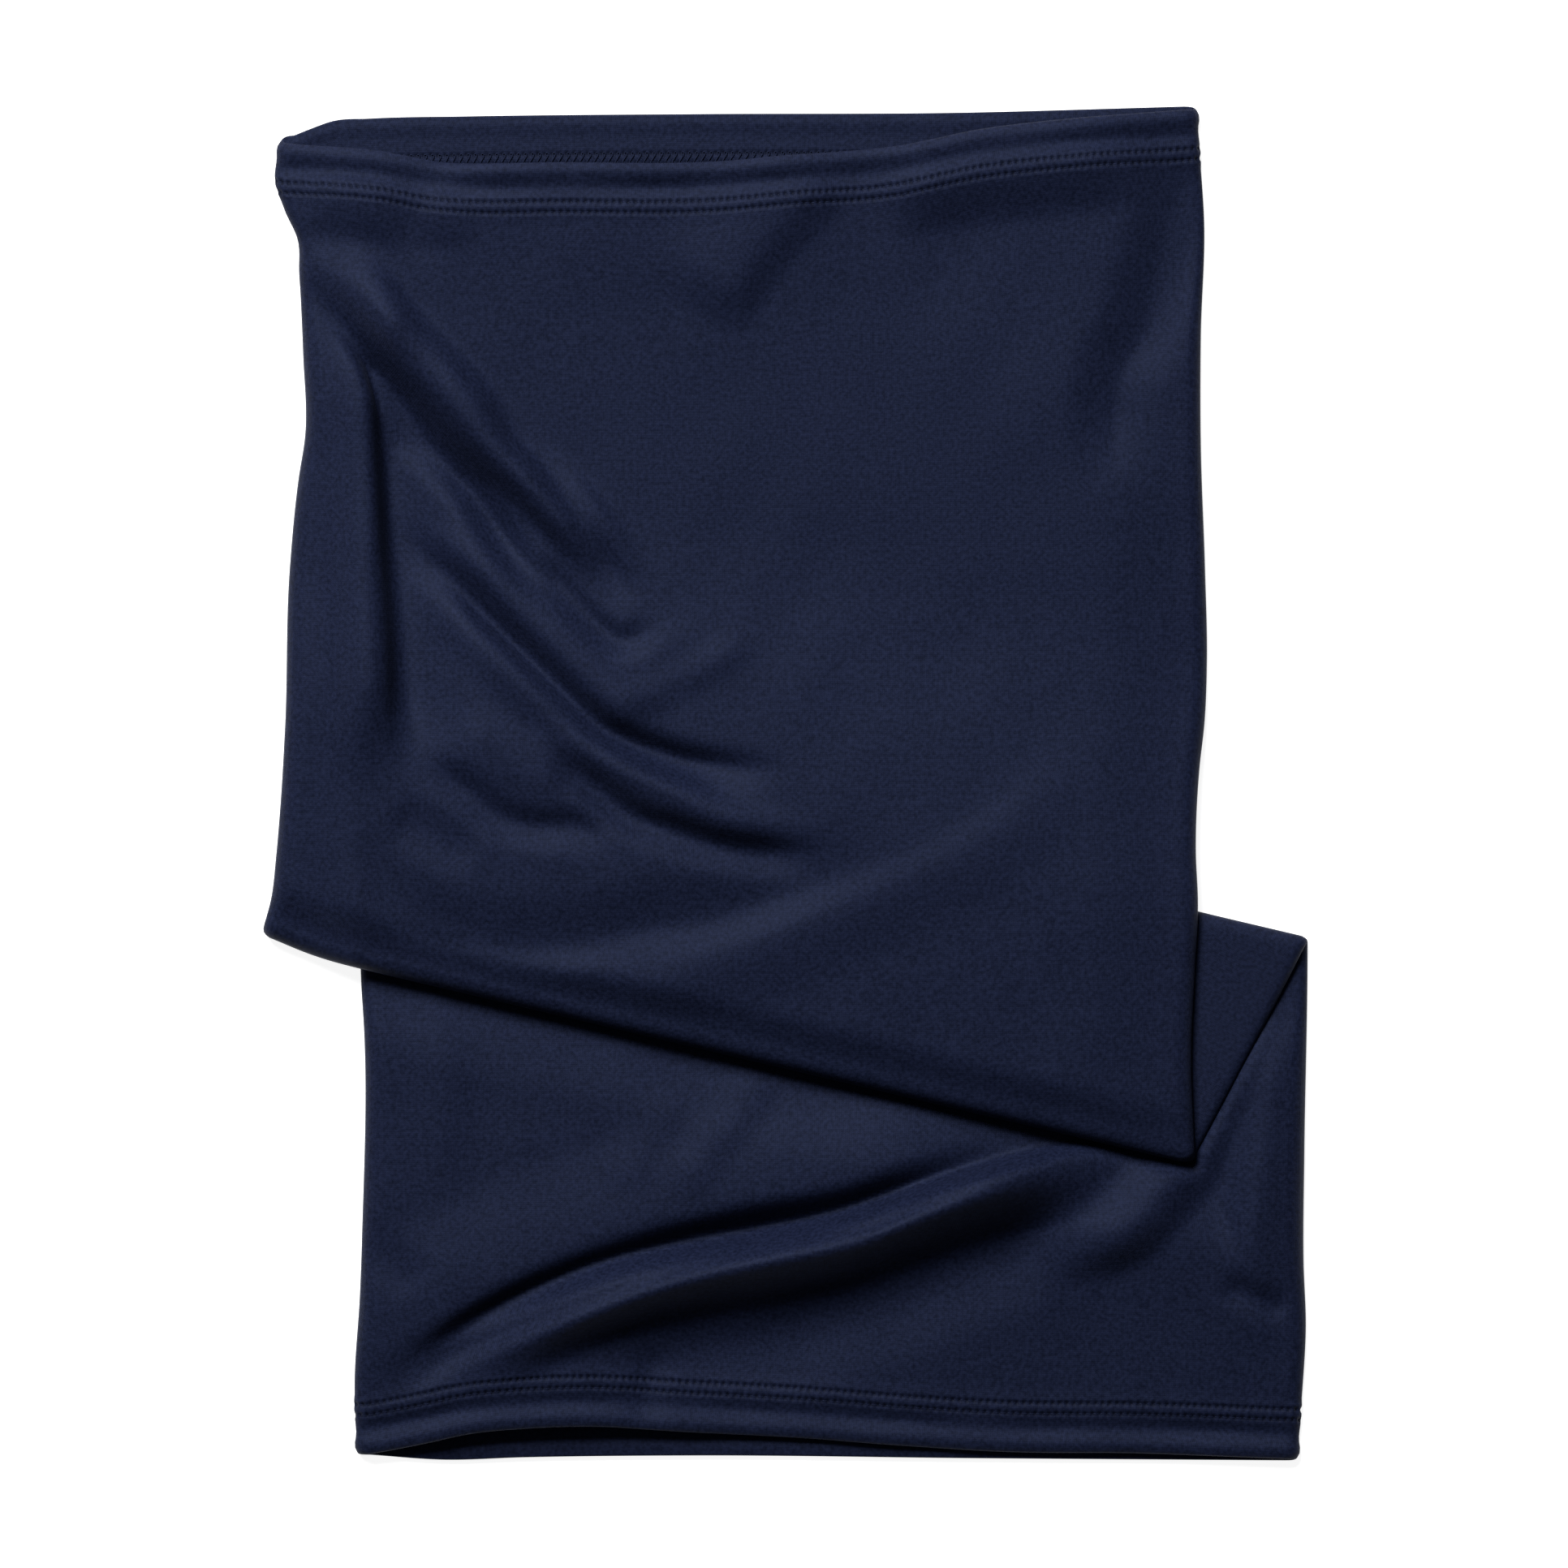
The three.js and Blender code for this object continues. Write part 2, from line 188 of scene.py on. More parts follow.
# Creases of the front ply, for each run. Each has its height (below 0 for a furrow), its reach on the
# line's left and on its right, how rounded it is, how far its crest leans to the right, and its line
# on the page. Left and right are as seen along the line. Rounded 0 gives a sharp crest and 1 a round
# one, and above 1 the crest is flatter and its sides are steeper.
CREASES = {
    "upper": [
        # The long ridge down from the upper left corner, with a deep furrow under it and a shallow one
        # above it.
        (7.2, 14, 7.5, 1.2, 1.0,
         [(-133, 146), (-125, 138), (-110, 118), (-97, 105), (-85, 92), (-72, 80.5), (-60, 69),
          (-50, 58), (-42, 48)]),
        (-5.0, 5, 10, 0.6, 0,
         [(-128, 136), (-119, 124), (-107, 105), (-91, 85), (-83, 76.5), (-72, 60), (-64, 48)]),
        (-3.2, 6.5, 9, 0.8, 0,
         [(-86, 103), (-76, 93.5), (-67, 85), (-60, 75.5), (-54, 66), (-47, 55), (-41, 46)]),
        # The hooked fold at the ridge's end and the small ones to its right.
        (0.8, 8, 10, 0.9, 0, [(-68, 53), (-58, 41), (-50, 34), (-41, 32), (-32, 36), (-20, 42)]),
        (-2.2, 5, 7, 0.7, 0, [(-68, 62), (-62, 54), (-54, 45), (-46, 38.5), (-41, 39), (-35, 44)]),
        (0.9, 7, 7, 0.9, 0, [(-52, 19), (-35, 25), (-20, 32), (-6, 40)]),
        # The furrow that sets off the puffed left side.
        (-5.0, 16, 12, 0.8, 0,
         [(-112, 126), (-108, 104), (-106, 78), (-102, 50), (-100, 20), (-98, -6)]),
        (4.4, 14, 9, 1, 0, [(-121, 128), (-120, 95), (-119, 60), (-118, 30), (-119, -4)]),
        # The deep furrow in the middle of the left half, with a ridge on each side, and the furrows
        # and the swell below it.
        (2.4, 9, 7, 1.2, 0, [(-97, 70), (-84, 57), (-70, 43), (-58, 31), (-46, 22), (-30, 15)]),
        (-4.8, 5.5, 9, 0.75, 0,
         [(-107, 71), (-99, 63.5), (-90, 55), (-81, 45), (-70, 34.5), (-62, 26.5), (-54, 18.5),
          (-46, 13), (-24, 6), (4, 3)]),
        (3.2, 7, 12, 0.8, 0,
         [(-97, 57), (-85, 43), (-74, 31), (-62, 21), (-52, 11), (-41, 3), (-28, -3.5), (-14, -9),
          (12, -13)]),
        (-3.6, 6, 9, 0.8, 0, [(-68, 10), (-54, 2), (-41, -8), (-28, -12.5), (-12, -17), (14, -19)]),
        (-2.4, 6, 9, 0.8, 0, [(-100, 7), (-88, 0), (-78, -8), (-68, -11), (-58, -11), (-44, -15)]),
        (-1.2, 10, 10, 1, 0, [(-109, -8), (-96, -14), (-83, -20)]),
        (1.2, 13, 13, 1, 0, [(-92, 16), (-76, 6), (-58, 0)]),
        # The swag that hangs from both sides near the lower fold.
        (-2.2, 15, 9, 0.9, 0,
         [(-122, -3), (-107, -32), (-96, -40), (-81, -43), (-61, -43), (-41, -39), (-14, -34),
          (36, -14)]),
        (1.0, 9, 16, 1, 0,
         [(-127, -4), (-117, -24), (-101, -39), (-79, -49), (-57, -53), (-31, -52), (29, -29), (70, -5),
          (88, 20)]),
        # The upper hem's pull on the cloth.
        (-3.9, 16, 13, 0.6, 0,
         [(109, 172), (107, 154), (105, 144), (98, 121), (92, 110), (90, 96), (92, 76)]),
        (3.6, 22, 14, 1, 0, [(22, 155), (50, 160), (72, 163), (106, 167)]),
        (2.6, 12, 26, 1, 0, [(14, 167), (5, 155), (-6, 144), (-14, 133), (-22, 121)]),
        (2.8, 18, 11, 1, 0, [(-136, 156), (-116, 153), (-100, 151), (-84, 153)]),
        (-2.4, 14, 15, 0.7, 0, [(-90, 176), (-93, 167), (-96, 160), (-102, 150), (-108, 142)]),
    ],
    "lower": [
        # The two long folds of the lower run, the furrow between them and the hollow below them.
        (3.2, 26, 9, 1.1, 0.3,
         [(-124, -162), (-99, -141), (-73, -127), (-43, -117), (-15, -110), (14, -105), (36, -98),
          (63, -90)]),
        (13.0, 6, 16.5, 1, 0.4,
         [(-98, -154), (-70, -140), (-49, -131.5), (-27, -126.5), (-6, -123), (16, -118), (53, -106),
          (104, -94)]),
        (-5.0, 13, 4, 1, 0,
         [(-111, -165), (-92, -152.5), (-66, -139), (-38, -129), (-10, -122.5), (19, -117),
          (41, -109.5), (73, -100)]),
        (-2.6, 15, 20, 1, 0,
         [(-60, -155), (-34, -151), (-5, -147), (29, -135), (60, -123), (90, -108)]),
        # The fold that follows the middle run's edge, and the puffed right side with its dent.
        (4.8, 10, 16, 1.1, 0,
         [(134, -36), (124, -66), (112, -96), (106, -106), (99, -115), (90, -121), (66, -127)]),
        (2.0, 8, 14, 1, 0, [(134, -56), (132, -100), (130, -130), (131, -154)]),
        (-1.8, 7, 7, 0.8, 0, [(120, -131), (128, -136), (138, -140)]),
        # Slight pulls.
        (0.9, 8, 11, 0.9, 0, [(-2, -75), (-14, -88), (-23, -98), (-32, -110)]),
        (0.6, 8, 11, 0.9, 0, [(-28, -82), (-38, -94), (-49, -108)]),
        (0.8, 14, 18, 1, 0, [(-99, -54), (-97, -100), (-99, -150)]),
        (-1.1, 9, 9, 1, 0, [(-120, -119), (-110, -127), (-102, -135)]),
        (-1.0, 8, 8, 0.9, 0, [(-35, -148), (-37, -158), (-39, -172)]),
    ],
}

# ---- Small tools ----


def smoothstep(x, start, end):
    t = np.clip((x - start) / (end - start), 0, 1)
    return t * t * (3 - 2 * t)


def lerp(a, b, t):
    return a + (b - a) * t


def bump(x, width):
    return np.exp(-((x / width) ** 2))


def through(knots):
    """A smooth function through (place, value) knots, level beyond the first and last."""
    place, value = np.array(knots, float).T
    slope = np.gradient(value, place)

    def evaluate(x):
        x = np.clip(x, place[0], place[-1])
        i = np.clip(np.searchsorted(place, x) - 1, 0, len(place) - 2)
        width = place[i + 1] - place[i]
        t = (x - place[i]) / width
        start = (1 + 2 * t) * (1 - t) ** 2 * value[i] + t * (1 - t) ** 2 * width * slope[i]
        end = t * t * (3 - 2 * t) * value[i + 1] + t * t * (t - 1) * width * slope[i + 1]
        return start + end

    return evaluate


def smooth_line(points, steps=6):
    """A denser line through the points, rounded at each."""
    points = np.array(points, float)
    at = np.arange(len(points))
    fine = np.linspace(0, len(points) - 1, steps * (len(points) - 1) + 1)
    columns = [through(np.column_stack([at, points[:, k]]))(fine) for k in (0, 1)]
    return np.column_stack(columns)


def waves(seed, shortest, longest, count=24):
    """A smooth random field on the page, of about unit size, from waves of these lengths."""
    draw = np.random.default_rng(seed)
    length = np.exp(draw.uniform(math.log(shortest), math.log(longest), count))
    heading = draw.uniform(0, 2 * math.pi, count)
    phase = draw.uniform(0, 2 * math.pi, count)
    kx = 2 * math.pi * np.cos(heading) / length
    ky = 2 * math.pi * np.sin(heading) / length

    def field(x, y):
        total = np.zeros_like(x)
        for a, b, c in zip(kx, ky, phase):
            total += np.sin(a * x + b * y + c)
        return total * math.sqrt(2 / count)

    return field


# ---- The tube, folded ----

CREASE_FADE = 0.25  # share of a crease's line over which each of its ends fades
CREASE_CLEAR = 10  # length before the lower fold over which the upper run's creases fade
CREASE_FREE = 8  # length over which the lower run's creases begin, clear of the stack
LOWER_FREE = 26  # and over which its plies part
WAVE_HEIGHT = 0.1  # of the slight waves all over the front ply

LEAST_APART = 1.0  # of the two plies' middles
SEAM_ROOM = 1.2  # how much further apart they stay over the seam's allowance
ALLOWANCE_MIDDLE = 2.7  # right of the seam line
SEAM_LIFT, SEAM_LIFT_WIDTH = 0.3, 6  # how far the seam lifts the front ply, and how widely

MOUTH_FLAT = 8  # how far in from a mouth the front ply keeps the mouth's height,
MOUTH_REACH = {"upper": 75, "lower": 60}  # and where it has lost it
HEM_SINK = 1.0  # how far the front ply sinks between a hem's edge and its stitches,
HEM_SINK_VARIES = 0.5  # and how much more or less here and there
HEM_SINK_DEPTH, HEM_SINK_WIDTH = 6.3, 2.4
HANG_STARTS = 18  # where a mouth's edges begin to even out,
HANG_REACH = {"upper": 110, "lower": 70}  # and where they have
MOUTH_RAISED = 0.7  # so that the back ply's stitches clear the floor
RAISED_FROM, RAISED_TO = 12, 45  # where the raised mouth begins to come down, and where it has

SIDE_ROUND = 2.2  # from the side fold's edge to where the plies are flat, where they are pressed
SIDE_GROWS = 0.75  # and how much further, for each millimetre that the plies part
SIDE_FULLNESS = 1.9  # above 1, the side fold is round and not pointed
CORNER_SHORT = 2.6  # how far the lower fold falls short at its left corner
CORNER_ALONG, CORNER_WIDTH, CORNER_REACH = -128, 13, 30  # that corner's place and size
OVERHANG_STARTS, OVERHANG_DOWN = 111, 129  # left of the lower run, where the stack sinks to the floor

COS, SIN = math.cos(FOLD_TILT), math.sin(FOLD_TILT)
TURN_LENGTH = math.pi * TURN
FOLD_PITCH = FOLD_A - FOLD_B
A_ENDS = FOLD_A + TURN_LENGTH
B_STARTS = A_ENDS + FOLD_PITCH
B_ENDS = B_STARTS + TURN_LENGTH
FOLDED_AWAY = B_ENDS - FOLD_B
LENGTH = SPAN + FOLDED_AWAY * COS
LOWER_LEVEL = FLOOR_CLEAR + HALF_CLOTH + PRESSED_HALF  # height of each pressed run's middle
MIDDLE_LEVEL = LOWER_LEVEL + 2 * TURN
UPPER_LEVEL = MIDDLE_LEVEL + 2 * TURN

left_side = through(LEFT_SIDE)
right_side = through(RIGHT_SIDE)
front_edge = {"upper": through(UPPER_FRONT_EDGE), "lower": through(LOWER_FRONT_EDGE)}
back_edge = {"upper": through(UPPER_BACK_EDGE), "lower": through(LOWER_BACK_EDGE)}
mouth_height = {"upper": through(UPPER_MOUTH_HEIGHT), "lower": through(LOWER_MOUTH_HEIGHT)}
gentle = waves(seed=3, shortest=22, longest=70)


def across_folds(x, y):
    return -x * SIN - y * COS


def along_folds(x, y):
    return x * COS - y * SIN


def section(tau):
    """Where tau is round the tube: front ply 0 to 1, right side 1 to 2, back ply 2 to 3, left side
    3 to 4. Gives the share across, how far it is out on a side fold, and -1 back to 1 front."""
    tau = np.mod(tau, 4)
    part = np.floor(tau).astype(int)
    t = tau - part
    share = np.choose(part, [t, np.ones_like(t), 1 - t, np.zeros_like(t)])
    angle = math.pi * (t - 0.5)
    out = np.choose(part, [0 * t, np.cos(angle), 0 * t, np.cos(angle)])
    front = np.choose(part, [1 + 0 * t, -np.sin(angle), -1 + 0 * t, np.sin(angle)])
    return share, out, front


def crease_relief(run, x, y):
    """The summed height of a run's creases at places on the page, and their push in x and y."""
    total, push_x, push_y = np.zeros((3, len(x)))
    for height, left, right, rounded, lean, points in CREASES[run]:
        line = smooth_line(points)
        reach = max(left, right)
        low, high = line.min(axis=0) - reach, line.max(axis=0) + reach
        near = np.flatnonzero((x > low[0]) & (x < high[0]) & (y > low[1]) & (y < high[1]))
        if not len(near):
            continue
        start, step = line[:-1], np.diff(line, axis=0)
        length = np.linalg.norm(step, axis=1)
        before = np.concatenate([[0], np.cumsum(length)])
        best = np.full(len(near), np.inf)
        side, at, right_x, right_y = np.zeros((4, len(near)))
        for (sx, sy), (dx, dy), piece, run_up in zip(start, step, length, before):
            px, py = x[near] - sx, y[near] - sy
            t = np.clip((px * dx + py * dy) / piece**2, 0, 1)
            away = np.hypot(px - t * dx, py - t * dy)
            closer = away < best
            best = np.where(closer, away, best)
            side = np.where(closer, dx * py - dy * px, side)
            at = np.where(closer, run_up + t * piece, at)
            right_x = np.where(closer, dy / piece, right_x)
            right_y = np.where(closer, -dx / piece, right_y)

        share = at / before[-1]
        fade = smoothstep(share, 0, CREASE_FADE) * (1 - smoothstep(share, 1 - CREASE_FADE, 1))
        t = np.clip(best / np.where(side > 0, left, right), 0, 1) ** max(rounded, 1)
        shape = fade * (1 - t) ** 2 * (1 + 2 * min(rounded, 1) * t)

        total[near] += height * shape
        push_x[near] += lean * shape * right_x
        push_y[near] += lean * shape * right_y
    return total, push_x, push_y


def middle_of_tube(b):
    """The tube's pressed middle, b across the folds: its place, height and which way it faces."""
    place = b.copy()
    height = np.full_like(b, LOWER_LEVEL)
    face_b = np.zeros_like(b)
    face_z = np.ones_like(b)

    upper = b < FOLD_A
    clear = FOLD_B - FOLD_REACH
    climb = smoothstep(b, clear - RAMP, clear + RAMP_OVERLAP)
    height = np.where(upper, lerp(LOWER_LEVEL, UPPER_LEVEL, climb), height)

    turn = (b >= FOLD_A) & (b < A_ENDS)
    angle = math.pi / 2 - (b - FOLD_A) / TURN
    place = np.where(turn, FOLD_A + TURN * np.cos(angle), place)
    height = np.where(turn, MIDDLE_LEVEL + TURN + TURN * np.sin(angle), height)
    face_b = np.where(turn, np.cos(angle), face_b)
    face_z = np.where(turn, np.sin(angle), face_z)

    middle = (b >= A_ENDS) & (b < B_STARTS)
    place = np.where(middle, FOLD_A - (b - A_ENDS), place)
    height = np.where(middle, MIDDLE_LEVEL, height)
    face_z = np.where(middle, -1.0, face_z)

    turn = (b >= B_STARTS) & (b < B_ENDS)
    angle = math.pi / 2 + (b - B_STARTS) / TURN
    place = np.where(turn, FOLD_B + TURN * np.cos(angle), place)
    height = np.where(turn, LOWER_LEVEL + TURN + TURN * np.sin(angle), height)
    face_b = np.where(turn, -np.cos(angle), face_b)
    face_z = np.where(turn, -np.sin(angle), face_z)

    place = np.where(b >= B_ENDS, b - FOLDED_AWAY, place)
    return place, height, face_b, face_z


def row_along_fold(b, share):
    """How far down the row at b across the folds is, at each share across the tube."""
    down = np.full_like(share, TOP + b)
    for _ in range(6):
        x = lerp(left_side(down), right_side(down), share)
        down = TOP + (b + x * SIN) / COS
    return down


def middle_right_edge():
    """The middle run's right edge, as places across the folds and how far along them it is."""
    b = np.linspace(A_ENDS, B_STARTS, 60)[::-1]
    down = row_along_fold(b, np.ones_like(b))
    return FOLD_A - (b - A_ENDS), along_folds(right_side(down), TOP - down)


edge_places, edge_alongs = middle_right_edge()


def uncovered(place, along, reach):
    """1 where the lower run is free of the stack on it, 0 where it is pressed, over a reach."""
    below = smoothstep(place, FOLD_A + 1, FOLD_A + 1 + reach)
    edge = np.interp(place, edge_places, edge_alongs)
    beside = smoothstep(along - edge, 0, reach) * smoothstep(place, FOLD_B - 2, FOLD_B + 10)
    return np.maximum(below, beside)


def loose_height(b):
    """How far the plies part, beyond where they are pressed, away from the mouths and creases."""
    to_roll = smoothstep(b, FOLD_A - ROLL_REACH, FOLD_A)
    round_roll = 1 - smoothstep(b, FOLD_A + TURN_LENGTH / 2, A_ENDS)
    return np.where(b < FOLD_A, lerp(UPPER_LOOSE, ROLL_LOOSE, to_roll), ROLL_LOOSE * round_roll)


def front_ply(share, down, b, x, y, along):
    """How far the front ply's middle stands off the back ply's, and its creases' push in x and y."""
    place = middle_of_tube(b)[0]
    upper = b < FOLD_A
    lower = b > B_ENDS
    from_seam = (share - SEAM_SHARE) * PLY_WIDTH

    on_upper = 1 - smoothstep(b, FOLD_A - CREASE_CLEAR, FOLD_A)
    on_lower = uncovered(place, along, CREASE_FREE)
    creased = np.where(upper, on_upper, np.where(lower, on_lower, 0))
    relief, push_x, push_y = np.zeros((3, len(x)))
    for run, here in (("upper", upper), ("lower", lower)):
        relief[here], push_x[here], push_y[here] = crease_relief(run, x[here], y[here])
    relief += WAVE_HEIGHT * gentle(x, y) + SEAM_LIFT * bump(from_seam, SEAM_LIFT_WIDTH)

    loose = np.where(lower, LOWER_LOOSE * uncovered(place, along, LOWER_FREE), loose_height(b))
    flatter_side = smoothstep(share, 0.9, 1) * upper  # the upper run's right side
    loose = loose * lerp(1, 0.5, flatter_side)
    hem_sink = HEM_SINK + HEM_SINK_VARIES * np.sin(26 * share) * np.sin(11 * share + 1)
    for mouth, from_edge in (("upper", down), ("lower", LENGTH - down)):
        at_mouth = mouth_height[mouth](share) - 2 * PRESSED_HALF
        loose = lerp(loose, at_mouth, 1 - smoothstep(from_edge, MOUTH_FLAT, MOUTH_REACH[mouth]))
        loose = loose - hem_sink * bump(from_edge - HEM_SINK_DEPTH, HEM_SINK_WIDTH)

    body = 2 * PRESSED_HALF + loose + creased * relief
    least = LEAST_APART + SEAM_ROOM * bump(from_seam - ALLOWANCE_MIDDLE, 5)
    thick = least + np.logaddexp(0, (body - least) * 3) / 3
    return thick, creased * push_x, creased * push_y


def hang_back(share, down, ahead):
    """How far a row is drawn back towards the middle of the tube, which opens the mouths."""
    drawn = {
        mouth: lerp(back_edge[mouth](share), front_edge[mouth](share), ahead)
        for mouth in ("upper", "lower")
    }
    return np.where(
        down < LENGTH / 2,
        drawn["upper"] * (1 - smoothstep(down, HANG_STARTS, HANG_REACH["upper"])),
        -drawn["lower"] * (1 - smoothstep(LENGTH - down, HANG_STARTS, HANG_REACH["lower"])),
    )


def sink(x, height):
    """How far the runs sink to the floor where they overhang the lower run on the left."""
    most, soft = 2 * TURN, 0.3
    drop = most - soft * np.logaddexp(0, (most - (height - LOWER_LEVEL)) / soft)
    return drop * smoothstep(-x, OVERHANG_STARTS, OVERHANG_DOWN)


def tube(tau, down):
    """The middle of the cloth, at tau round the tube and `down` along it."""
    share, out, front = section(tau)
    ahead = (1 + front) / 2
    left, right = left_side(down), right_side(down)
    y = TOP - down - hang_back(share, down, ahead)

    x = lerp(left, right, share)
    b = across_folds(x, y)
    place = middle_of_tube(b)[0]
    along = along_folds(x, y)
    page_x = along * COS - place * SIN
    page_y = -along * SIN - place * COS
    thick, push_x, push_y = front_ply(share, down, b, page_x, page_y, along)

    round_off = SIDE_ROUND + SIDE_GROWS * (thick - 2 * PRESSED_HALF)
    x = lerp(left + round_off, right - round_off, share)
    x = x + out * round_off * np.where(share < 0.5, -1, 1)
    b = across_folds(x, y)
    place, height, face_b, face_z = middle_of_tube(b)
    along = along_folds(x, y)
    corner = bump(along - CORNER_ALONG, CORNER_WIDTH) * smoothstep(place, FOLD_A - CORNER_REACH, FOLD_A)
    place = place - CORNER_SHORT * corner * (b < B_STARTS)
    facing_up, facing_down = ahead**SIDE_FULLNESS, 1 - (1 - ahead) ** SIDE_FULLNESS
    lift = thick * lerp(facing_up, facing_down, (1 - face_z) / 2) - PRESSED_HALF
    at = place + lift * face_b
    x = along * COS - at * SIN + push_x * ahead
    y = -along * SIN - at * COS + push_y * ahead

    from_mouth = np.minimum(down, LENGTH - down)
    raised = MOUTH_RAISED * (1 - smoothstep(from_mouth, RAISED_FROM, RAISED_TO))
    height = height - sink(x, height)
    return np.column_stack([x, y, height + raised + lift * face_z])


def surface(tau, down, off):
    """Points `off` outwards from the middle of the cloth, in millimetres."""
    tau, down, off = np.broadcast_arrays(
        np.asarray(tau, float), np.asarray(down, float), np.asarray(off, float)
    )
    on_ply = np.mod(np.floor(tau), 2) == 0
    round_step = np.where(on_ply, 0.0015, 0.03)
    down_step = 0.3
    on = tube(tau, down)
    by_tau = tube(tau + round_step, down) - tube(tau - round_step, down)
    by_down = tube(tau, down + down_step) - tube(tau, down - down_step)
    normal = np.cross(by_tau, by_down)
    normal /= np.maximum(np.linalg.norm(normal, axis=1, keepdims=True), 1e-12)
    return on - normal * off[:, None]


# ---- Hems: stitch places and the relief that sewing leaves in the cloth ----

ROWS_MIDDLE = sum(NEEDLE_ROWS) / 2
ROW_LAG = 0.4  # of a stitch, from one needle's holes to the other's
EDGE_ROLL = 0.45  # height of the roll at the mouth's edge
EDGE_HOLLOW = 0.15  # depth of the hollow beside it
TURNED_PLY_SHOWS = 0.2  # how far the turned ply lifts the face
ROW_DENT = 0.06  # depth of the dent along a needle row
DENT_WIDTH = 0.6
ROW_RIDGE = 0.05  # height of the ridge between the rows
HOLE_DEPTH = 0.5


def girth(down):
    """The way round the tube at a place along it: tau, and the distance from tau 0 to each."""
    tau = np.linspace(0, 4, 2401)
    points = tube(tau, np.full_like(tau, down))
    steps = np.linalg.norm(np.diff(points, axis=0), axis=1)
    return tau, np.concatenate([[0], np.cumsum(steps)])


class Hem:
    """One mouth's hem. `depth` is measured from the mouth's edge into the tube."""

    def __init__(self, name):
        self.name = name
        self.upper = name == "upper"
        self.tau, self.around = girth(self.down(NEEDLE_ROWS[0]))
        self.count = round(self.around[-1] / STITCH)

    def down(self, depth):
        return depth if self.upper else LENGTH - depth

    def stitch_at(self, tau):
        """The stitch number, with its fraction, at tau."""
        return np.interp(np.mod(tau, 4), self.tau, self.around) / self.around[-1] * self.count

    def tau_at(self, stitch):
        around = np.mod(stitch / self.count, 1) * self.around[-1]
        return np.interp(around, self.around, self.tau)

    def hole(self, tau, depth, row):
        """1 at a needle hole's middle, 0 away from the holes."""
        phase = self.stitch_at(tau) - ROW_LAG * row
        beside = np.abs(phase - np.round(phase)) * STITCH
        return bump(beside, 0.52) * bump(depth - NEEDLE_ROWS[row], DENT_WIDTH)

    def relief(self, tau, depth, inside):
        """How far sewing lifts or sinks the cloth's face."""
        total = EDGE_ROLL * bump(depth - 2.2, 1.8) - EDGE_HOLLOW * bump(depth - 6, 2.5)
        if not inside:
            total += TURNED_PLY_SHOWS * (1 - smoothstep(depth, 13.5, 16))
        for row, place in enumerate(NEEDLE_ROWS):
            total -= ROW_DENT * bump(depth - place, DENT_WIDTH)
            total -= HOLE_DEPTH * self.hole(tau, depth, row)
        total += ROW_RIDGE * bump(depth - ROWS_MIDDLE, 0.8)
        return total * smoothstep(depth, 0, 1)


hems = {name: Hem(name) for name in ("upper", "lower")}

# ---- The cloth sheet ----

TURNED_OFF = -(CLOTH + HEM_GAP)  # the turned ply's middle
EDGE_RADIUS = -TURNED_OFF / 2
INSIDE_RELIEF = 0.6  # of the outside's relief, on the turned ply
SEAM_DENT = 0.35  # depth of the side seam's line in the cloth
FINE_BAND = (8.7, 14.3)  # depths in a hem between which the mesh is finer
HEM_END = 24  # depth at which a hem's rows end and the body's begin
ROWS_TURN = 60  # depth at which the body's rows begin to slant as the folds do
BY_FOLD = 8  # how near a fold the rows are closer together
ply_taus = np.linspace(0, 1, PLY_STEPS + 1)[:-1]
side_taus = np.linspace(0, 1, SIDE_STEPS + 1)[:-1]
seam_taus = 3 - SEAM_SHARE + np.array([-0.006, -0.004, -0.0015, 0, 0.0015, 0.004, 0.006])
coarse = np.unique(
    np.concatenate([ply_taus, 1 + side_taus, 2 + ply_taus, 3 + side_taus, seam_taus]).round(6)
)
finer = np.concatenate([coarse, [4]])
finer = np.interp(np.arange(len(coarse) * FINE) / FINE, np.arange(len(coarse) + 1), finer)


def hem_depths():
    """Depths from the mouth's edge to past the stitches, and whether each is in the fine band."""
    start, end = FINE_BAND
    return [
        *[(d, False) for d in np.linspace(0, start, 7)[1:]],
        *[(d, True) for d in np.linspace(start, end, 20)[1:-1]],
        *[(d, False) for d in np.linspace(end, HEM_END, 7)],
    ]


def body_rows():
    """Rows between the hems, each as a function from shares across to places down. Each control row
    has the number of steps that lead to it."""
    controls = [
        (lambda s: np.full_like(s, HEM_END), 0),
        (lambda s: np.full_like(s, ROWS_TURN), 22),
        (lambda s: row_along_fold(FOLD_A - BY_FOLD, s), 108),
        (lambda s: row_along_fold(FOLD_A, s), 7),
        (lambda s: row_along_fold(A_ENDS, s), 9),
        (lambda s: row_along_fold(B_STARTS, s), 36),
        (lambda s: row_along_fold(B_ENDS, s), 9),
        (lambda s: row_along_fold(B_ENDS + BY_FOLD, s), 7),
        (lambda s: np.full_like(s, LENGTH - ROWS_TURN), 92),
        (lambda s: np.full_like(s, LENGTH - HEM_END), 22),
    ]
    rows = []
    for (before, _), (after, steps) in zip(controls, controls[1:]):
        for i in range(steps):
            rows.append(lambda s, a=before, b=after, t=i / steps: lerp(a(s), b(s), t))
    return rows[1:]


